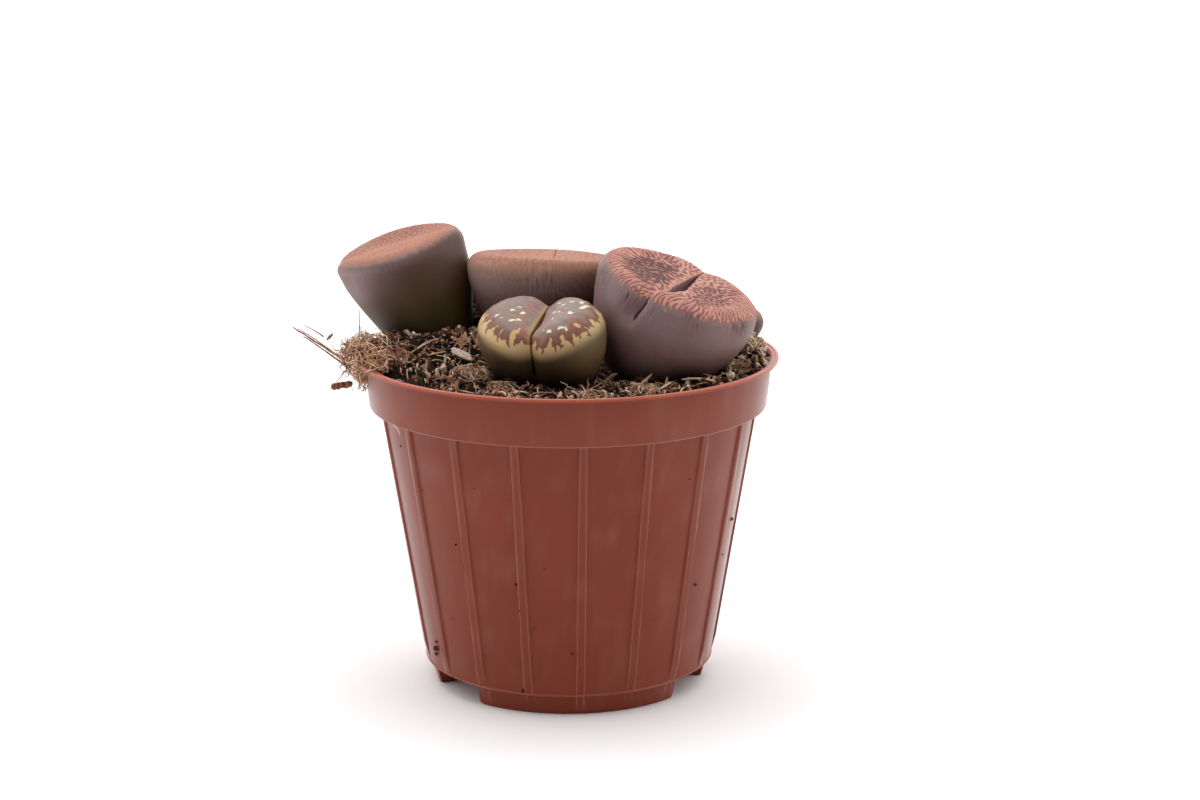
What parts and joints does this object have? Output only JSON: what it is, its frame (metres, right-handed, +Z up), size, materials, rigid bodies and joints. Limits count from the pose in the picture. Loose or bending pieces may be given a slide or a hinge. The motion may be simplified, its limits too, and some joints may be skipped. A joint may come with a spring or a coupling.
{
  "type": "potted lithops",
  "caption": "Living-stone plants with wrinkled flat-topped leaf pairs, growing in a small round plastic nursery pot filled with peaty potting mix.",
  "frame": {"origin": "on the surface that the pot's feet stand on, below the middle of the whole outline; the pot's own axis stands 4.05 mm to the +X side of it, because the tuft of root fibre reaches further out than the rim", "axes": "+Z up along the pot's axis; the side that the picture shows, with the small green leaf pair, faces -Y; the tuft of root fibre hangs over the rim at -X"},
  "size_m": [0.0632, 0.055, 0.0584],
  "materials": {
    "pot_plastic": "moulded terracotta-brown polypropylene, satin",
    "leaf_mauve": "waxy mauve-brown leaf skin, finely pitted, with orange-tan raised lines on the face",
    "leaf_green": "waxy olive-green leaf skin with a cream toothed margin and grey-purple windows",
    "mix": "dark damp peat with coarse crumbs and pale fibres",
    "fibre": "dry matted orange-tan root fibre",
    "chip": "pale split wood, dry"
  },
  "bodies": {
    "root": {"pot": "pot_plastic", "potting_mix": "mix", "lithops_back_left": "leaf_mauve", "lithops_back_middle": "leaf_mauve", "lithops_right": "leaf_mauve", "lithops_front_small": "leaf_green", "lithops_right_small": "leaf_mauve", "root_fibre_tuft": "fibre", "wood_chip": "chip"}
  },
  "joints": []
}
